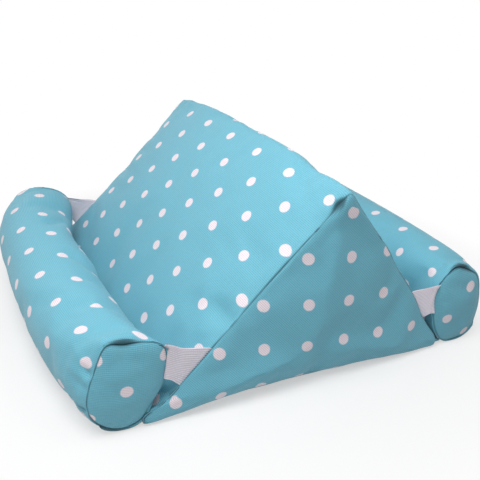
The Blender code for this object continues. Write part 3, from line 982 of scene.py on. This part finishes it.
def make_cushion(cushion):
    """Make one cushion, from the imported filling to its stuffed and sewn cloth."""
    bm = cage_of(cushion)
    print_pattern(bm, cushion)
    bm = subdivided(bm, 2)
    push_out(bm, cushion)
    moved = stuffed(bm)
    hold_seams(bm, cushion)
    bm = subdivided(bm, 1)
    if moved:
        follow(bm, *moved)
    fold_in(bm, cushion)
    draw_in_seams(bm, cushion.tucks)
    mesh = mesh_of(bm, cushion.name)
    mesh.shade_smooth()
    for panel in cushion.panels:
        mesh.materials.append(cloth_for(panel.slot))
    obj = show(cushion.name, mesh)
    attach(obj, cushion.body)
    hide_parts(cushion.filling, *(panel.node for panel in cushion.panels))


def corners_of(mesh, facing):
    """The four sides of a CAD sheet's face that looks this way, each as a run of points round it."""
    bm = faces_of(mesh)
    bmesh.ops.remove_doubles(bm, verts=bm.verts, dist=WELD)
    bm.normal_update()
    faces = {f for f in bm.faces if f.normal.dot(Vector(facing)) > FACING_SHARE}
    onward = {}
    for face in faces:
        for loop in face.loops:
            if sum(other in faces for other in loop.edge.link_faces) == 1:
                onward[loop.vert] = loop.link_loop_next.vert
    run = [next(iter(onward))]
    while onward[run[-1]] is not run[0]:
        run.append(onward[run[-1]])
    points = [v.co.copy() for v in run]
    bm.free()
    count = len(points)
    turn = [(points[k] - points[k - 1]).angle(points[(k + 1) % count] - points[k]) for k in range(count)]
    corners = sorted(sorted(range(count), key=lambda k: -turn[k])[:4])
    points += points
    return [points[a:b + 1] for a, b in zip(corners, corners[1:] + [corners[0] + count])]


def ways_along(points):
    """How far along a run of points each of them lies."""
    return np.concatenate([[0], np.cumsum(np.linalg.norm(np.diff(points, axis=0), axis=1))])


def evenly(points, count):
    """This many points, evenly spaced along a run."""
    points = np.array(points)
    length = ways_along(points)
    wanted = np.linspace(0, length[-1], count)
    return np.stack([np.interp(wanted, length, points[:, k]) for k in range(3)], axis=1)


def patch_between(sides, from_y, rows, columns):
    """A grid of points that fills four sides, in rows from the side nearest to a Y to the opposite one."""
    first = min(range(4), key=lambda k: abs(sum(p.y for p in sides[k]) / len(sides[k]) - from_y))
    start, one, end, other = (sides[(first + k) % 4] for k in range(4))
    start, end = evenly(start, columns), evenly(end[::-1], columns)
    one, other = evenly(one, rows), evenly(other[::-1], rows)
    u, v = np.linspace(0, 1, rows)[:, None, None], np.linspace(0, 1, columns)[None, :, None]
    ruled = (1 - u) * start[None] + u * end[None] + (1 - v) * other[:, None] + v * one[:, None]
    flat = (1 - u) * ((1 - v) * start[0] + v * start[-1]) + u * ((1 - v) * end[0] + v * end[-1])
    return ruled - flat


def lengthened(grid, tuck):
    """The grid with a row more at each end, this far on."""
    ends = []
    for near, beside in ((grid[0], grid[1]), (grid[-1], grid[-2])):
        way = near - beside
        ends.append(near + way / np.linalg.norm(way, axis=1)[:, None] * tuck)
    return np.concatenate([ends[:1], grid, ends[1:]])


def sheet_mesh(name, grid, facing):
    """A sheet of quads through a grid of points, with its place across it and on the cloth."""
    rows, columns, _ = grid.shape
    bm = bmesh.new()
    across = bm.verts.layers.float.new(ACROSS)
    uv = bm.loops.layers.uv.new(CLOTH_UV)
    along = ways_along(grid[:, columns // 2])
    corners = {}
    for i in range(rows):
        for k in range(columns):
            corners[i, k] = bm.verts.new(grid[i, k])
            corners[i, k][across] = k / (columns - 1)
    place = {corner: (along[i], k / (columns - 1)) for (i, k), corner in corners.items()}
    for i in range(rows - 1):
        for k in range(columns - 1):
            around = ((i, k), (i + 1, k), (i + 1, k + 1), (i, k + 1))
            face = bm.faces.new([corners[step] for step in around])
            for loop in face.loops:
                loop[uv].uv = place[loop.vert]
    bm.normal_update()
    if next(iter(bm.faces)).normal.dot(Vector(facing)) < 0:
        bmesh.ops.reverse_faces(bm, faces=bm.faces)
    return mesh_of(bm, name)


def nodes_tree(name, inputs):
    """A Geometry Nodes tree with named number inputs, as its graph and {input's name: value}."""
    tree = bpy.data.node_groups.new(name, "GeometryNodeTree")
    tree.interface.new_socket("Geometry", in_out="INPUT", socket_type="NodeSocketGeometry")
    tree.interface.new_socket("Geometry", in_out="OUTPUT", socket_type="NodeSocketGeometry")
    for label, value in inputs.items():
        socket = tree.interface.new_socket(label, in_out="INPUT", socket_type="NodeSocketFloat")
        socket.default_value = value
    graph = Graph(tree)
    geometry = graph.add("NodeGroupInput")
    return graph, geometry, {label: geometry.out(label) for label in inputs}


def finish_tree(graph, geometry, material):
    """End the tree in real, dressed geometry."""
    real = graph.add("GeometryNodeRealizeInstances", {}, {"Geometry": geometry})
    dressed = graph.add("GeometryNodeSetMaterial", {}, {"Geometry": real, "Material": material})
    graph.add_output(dressed)


def apply_tree(obj, tree, values):
    """Put the tree on the object, with its inputs set by their sockets' identifiers."""
    modifier = obj.modifiers.new(tree.name, "NODES")
    modifier.node_group = tree
    for item in tree.interface.items_tree:
        if item.in_out == "INPUT" and item.name in values:
            modifier[item.identifier] = values[item.name]


def rib_tree():
    """Stand ribs up on a sheet, along the lines on which its place across it is the same."""
    graph, sheet, inputs = nodes_tree("ribs", {"Ribs": 20.0, "Height": 0.0003})
    across = graph.add("GeometryNodeInputNamedAttribute", {"data_type": "FLOAT"}, {"Name": ACROSS})
    height = (across * inputs["Ribs"]).hump() * inputs["Height"]
    normal = graph.add("GeometryNodeInputNormal")
    lift = graph.add("ShaderNodeVectorMath", {"operation": "SCALE"}, {"Vector": normal, "Scale": height})
    ribbed = graph.add("GeometryNodeSetPosition", {}, {"Geometry": sheet, "Offset": lift})
    finish_tree(graph, ribbed, material_named("ribbed_elastic", elastic_material))
    return graph.tree


def make_strap(node, cushion, lower):
    """One ribbed elastic, sewn into the wedge's end seam and the bolster's cap seam, this much lower."""
    elastic = bpy.context.scene.stand_elastic
    outwards = (math.copysign(1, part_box(node)[0][0]), 0, 0)
    sides = corners_of(frame["nodes"][node].data, outwards)
    grid = patch_between(sides, 0.0, STRAP_ROWS, RIB_POINTS * elastic.ribs + 1)
    rows, columns, _ = grid.shape
    upwards = grid[0, -1, 2] > grid[0, 0, 2]
    for i in range(rows):
        for k in range(columns):
            height = k / (columns - 1) if upwards else 1 - k / (columns - 1)
            way = i / (rows - 1)
            grid[i, k, 2] += elastic.bow * height ** 2 * math.sin(math.pi * way ** BOW_LEAN)
            point = Vector(grid[i, k])
            grid[i, k] += np.array(pushed(point, WEDGE) * (1 - way) + pushed(point, cushion) * way)
            spread = elastic.spread * (2 * height - 1) * (1 - way)
            grid[i, k, 0] -= outwards[0] * elastic.sink * (1 - way) ** SINK_FADE
            grid[i, k, 1] += cushion.outwards * (lower * (1 - way) - spread)
            grid[i, k, 2] += spread - lower
    grid = lengthened(grid, elastic.tuck)
    obj = show(node, sheet_mesh(node, grid, outwards))
    tree = bpy.data.node_groups.get("ribs") or rib_tree()
    apply_tree(obj, tree, {"Ribs": float(elastic.ribs), "Height": elastic.rib_height})
    add_wall(obj, elastic.thickness)
    obj = finished(obj, f"{node}_elastic")
    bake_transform(obj)
    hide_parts(node)


def make_web(node, hinge_y):
    """The strip of cloth on which a bolster swings, caught between it and the wedge."""
    web = bpy.context.scene.stand_web
    sides = corners_of(frame["nodes"][node].data, (0, 0, 1))
    grid = lengthened(patch_between(sides, 0.0, WEB_ROWS, WEB_COLUMNS), web.tuck)
    for i, row in enumerate(grid):
        for k, point in enumerate(row):
            point[2] += web.waves * noise.noise(Vector((point[0] / web.wave_length, hinge_y, 0)))
    obj = show(node, sheet_mesh(node, grid, (0, 0, 1)))
    add_wall(obj, web.thickness)
    add_subdivision(obj, 1)
    obj = finished(obj, f"{node}_cloth")
    obj.data.materials.append(cloth_for("base_cloth"))
    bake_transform(obj)
    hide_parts(node)


def seam_wire(cushion):
    """A cushion's seams as a mesh of edges, with the way across and outwards at each point."""
    seams = bpy.context.scene.stand_seams
    bm = faces_of(bpy.data.objects[cushion.name].data)
    bm.normal_update()
    wire = bmesh.new()
    across = wire.verts.layers.float_vector.new(ACROSS)
    outwards = wire.verts.layers.float_vector.new(OUTWARDS)
    made = {}
    for edge in [e for e in bm.edges if is_seam(e)]:
        if max(v.co.z for v in edge.verts) < seams.unseen_below:
            continue
        for vertex in edge.verts:
            if vertex not in made:
                made[vertex] = wire.verts.new(vertex.co + vertex.normal * seams.depth * seams.thread_level)
                made[vertex][outwards] = vertex.normal
            run = edge.other_vert(vertex).co - vertex.co
            side = run.cross(vertex.normal).normalized()
            known = made[vertex][across]
            made[vertex][across] = known + (side if side.dot(known) >= 0 else -side)
        wire.edges.new([made[v] for v in edge.verts])
    bm.free()
    return wire


def stitch_tree():
    """Lay a bar of thread across a line at even steps."""
    graph, lines, inputs = nodes_tree("stitches", {"Pitch": 0.0028, "Length": 0.0014, "Thread": 0.0004})
    curve = graph.add("GeometryNodeMeshToCurve", {}, {"Mesh": lines})
    steps = graph.add("GeometryNodeResampleCurve", {"mode": "LENGTH"}, {
        "Curve": curve, "Length": inputs["Pitch"]})
    across, outwards = (
        graph.add("GeometryNodeInputNamedAttribute", {"data_type": "FLOAT_VECTOR"}, {"Name": name})
        for name in (ACROSS, OUTWARDS))
    uneven = graph.add("FunctionNodeRandomValue", {"data_type": "FLOAT"}, {
        "Min": -1.0, "Max": 1.0, "Seed": 7})
    turned = graph.add("FunctionNodeAlignEulerToVector", {"axis": "X"}, {"Vector": across})
    faced = graph.add("FunctionNodeAlignEulerToVector", {"axis": "Z", "pivot_axis": "X"}, {
        "Rotation": turned, "Vector": outwards})
    bar = graph.add("GeometryNodeMeshUVSphere", {}, {
        "Segments": STITCH_SIDES, "Rings": STITCH_SIDES, "Radius": 0.5})
    size = graph.add("ShaderNodeCombineXYZ", {}, {
        "X": inputs["Length"] * (1 + uneven * STITCH_SPREAD), "Y": inputs["Thread"], "Z": inputs["Thread"]})
    bars = graph.add("GeometryNodeInstanceOnPoints", {}, {
        "Points": steps, "Instance": bar, "Rotation": faced, "Scale": size})
    finish_tree(graph, bars, material_named("sewing_thread", thread_material))
    return graph.tree


def make_stitches(cushion):
    """The thread that crosses a cushion's seams, deep in their grooves."""
    seams = bpy.context.scene.stand_seams
    name = f"{cushion.body}_stitches"
    obj = show(name, mesh_of(seam_wire(cushion), name))
    tree = bpy.data.node_groups.get("stitches") or stitch_tree()
    apply_tree(obj, tree, {
        "Pitch": seams.stitch_pitch, "Length": seams.stitch_length, "Thread": seams.thread})
    obj = finished(obj, name)
    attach(obj, cushion.body)


class STAND_OT_wedge(bpy.types.Operator):
    """Make the stuffed wedge that the tablet leans on"""

    bl_idname = "stand.wedge"
    bl_label = "Wedge cushion"

    def execute(self, context):
        make_cushion(WEDGE)
        return {"FINISHED"}


class STAND_OT_bolsters(bpy.types.Operator):
    """Make the two stuffed bolsters"""

    bl_idname = "stand.bolsters"
    bl_label = "Bolsters"

    def execute(self, context):
        make_cushion(FRONT_BOLSTER)
        make_cushion(REAR_BOLSTER)
        return {"FINISHED"}


class STAND_OT_straps(bpy.types.Operator):
    """Make the four ribbed elastics that pull the bolsters back"""

    bl_idname = "stand.straps"
    bl_label = "Elastic straps"

    def execute(self, context):
        for strap in STRAPS:
            make_strap(*strap)
        return {"FINISHED"}


class STAND_OT_webs(bpy.types.Operator):
    """Make the two cloth webs that the bolsters swing on"""

    bl_idname = "stand.webs"
    bl_label = "Hinge webs"

    def execute(self, context):
        make_web("front_hinge_web", FRONT_Y)
        make_web("rear_hinge_web", REAR_Y)
        return {"FINISHED"}


class STAND_OT_stitches(bpy.types.Operator):
    """Make the thread in the seams of all three cushions"""

    bl_idname = "stand.stitches"
    bl_label = "Seam stitches"

    def execute(self, context):
        for cushion in (WEDGE, FRONT_BOLSTER, REAR_BOLSTER):
            make_stitches(cushion)
        return {"FINISHED"}


class STAND_OT_stage(bpy.types.Operator):
    """Make the floor, the lights and the camera"""

    bl_idname = "stand.stage"
    bl_label = "Stage"

    def execute(self, context):
        make_floor()
        for lamp in LAMPS:
            make_lamp(lamp)
        make_world()
        make_camera()
        context.scene.view_settings.view_transform = "Standard"
        return {"FINISHED"}


def background_rays(graph):
    """1 for the camera's rays and for reflected and refracted ones, which see the background as white."""
    rays = graph.add("ShaderNodeLightPath")
    bent = rays.out("Is Glossy Ray").math("MAXIMUM", rays.out("Is Transmission Ray"))
    return rays.math("MAXIMUM", bent)


def make_floor():
    """A wide, flat floor just below the stand."""
    stage = bpy.context.scene.stand_stage
    bm = bmesh.new()
    bmesh.ops.create_grid(bm, x_segments=1, y_segments=1, size=stage.floor_reach)
    mesh = mesh_of(bm, "floor")
    mesh.transform(Matrix.Translation((0, 0, -FLOOR_DEPTH)))
    mesh.materials.append(floor_material())
    show("floor", mesh)


def floor_material():
    """A pale floor that shows the stand's shadow and fades to plain white further out."""
    stage = bpy.context.scene.stand_stage
    material, graph, shader = new_material("pale_floor", roughness=0.9, sheen=0.0)
    graph.put(shader.inputs["Base Color"], (*stage.floor_colour, 1))
    place = graph.add("ShaderNodeTexCoord").out("Object")
    reach = graph.add("ShaderNodeVectorMath", {"operation": "LENGTH"}, {0: place})
    far = ((reach - stage.shadow_reach) / stage.shadow_fade).clamped()
    white = graph.add("ShaderNodeEmission", {}, {"Color": (1, 1, 1, 1), "Strength": 1.0})
    share = background_rays(graph) * (1 - (1 - far) * stage.shadow_share)
    lit = Value(graph, shader.outputs["BSDF"])
    shown = graph.add("ShaderNodeMixShader", {}, {0: share, 1: lit, 2: white})
    graph.put(material.node_tree.nodes["Material Output"].inputs["Surface"], shown)
    return material


def make_lamp(lamp):
    """A square lamp that faces its target."""
    light = bpy.data.lights.new(lamp.name, "AREA")
    light.shape = "SQUARE"
    light.size = lamp.size
    light.energy = lamp.power
    obj = show(lamp.name, light)
    place = Vector(lamp.place)
    turn = (Vector(lamp.target) - place).to_track_quat("-Z", "Y")
    obj.matrix_world = Matrix.Translation(place) @ turn.to_matrix().to_4x4()


def make_world():
    """A pale world that lights the stand weakly from all round and looks white itself."""
    stage = bpy.context.scene.stand_stage
    world = bpy.data.worlds.new("studio")
    world.use_nodes = True
    graph = Graph(world.node_tree)
    shade = world.node_tree.nodes["Background"]
    strength = background_rays(graph) * (1 - stage.ambient) + stage.ambient
    graph.put(shade.inputs["Color"], (1, 1, 1, 1))
    graph.put(shade.inputs["Strength"], strength)
    bpy.context.scene.world = world


def make_camera():
    """The photograph's view."""
    stage = bpy.context.scene.stand_stage
    azimuth, elevation = math.radians(stage.camera_azimuth), math.radians(stage.camera_elevation)
    level = math.cos(elevation)
    forward = Vector((-math.sin(azimuth) * level, math.cos(azimuth) * level, -math.sin(elevation)))
    camera = bpy.data.cameras.new("camera")
    camera.sensor_width = stage.sensor
    camera.lens = stage.lens
    camera.clip_start = 0.01
    obj = show("camera", camera)
    turn = forward.to_track_quat("-Z", "Y").to_matrix().to_4x4()
    roll = Matrix.Rotation(math.radians(stage.camera_roll), 4, "Z")
    obj.matrix_world = Matrix.Translation(stage.camera_place) @ turn @ roll
    bpy.context.scene.camera = obj


class STAND_PT_sidebar(bpy.types.Panel):
    """The stand's pieces and their sizes"""

    bl_idname = "STAND_PT_sidebar"
    bl_label = "Cushion stand"
    bl_space_type = "VIEW_3D"
    bl_region_type = "UI"
    bl_category = "Cushion stand"

    def draw(self, context):
        for name, kind in SETTINGS.items():
            box = self.layout.box()
            for key in kind.__annotations__:
                box.prop(getattr(context.scene, name), key)
        for operator in OPERATORS:
            self.layout.operator(operator.bl_idname)


OPERATORS = (
    STAND_OT_wedge, STAND_OT_bolsters, STAND_OT_straps, STAND_OT_webs, STAND_OT_stitches, STAND_OT_stage,
)
KINDS = (*SETTINGS.values(), *OPERATORS, STAND_PT_sidebar)


def register():
    for kind in KINDS:
        bpy.utils.register_class(kind)
    for name, kind in SETTINGS.items():
        setattr(bpy.types.Scene, name, bpy.props.PointerProperty(type=kind))


def unregister():
    for name in SETTINGS:
        delattr(bpy.types.Scene, name)
    for kind in KINDS:
        bpy.utils.unregister_class(kind)


def main():
    register()
    bpy.ops.stand.wedge()
    bpy.ops.stand.bolsters()
    bpy.ops.stand.straps()
    bpy.ops.stand.webs()
    bpy.ops.stand.stitches()
    bpy.ops.stand.stage()


if __name__ == "__main__":
    main()
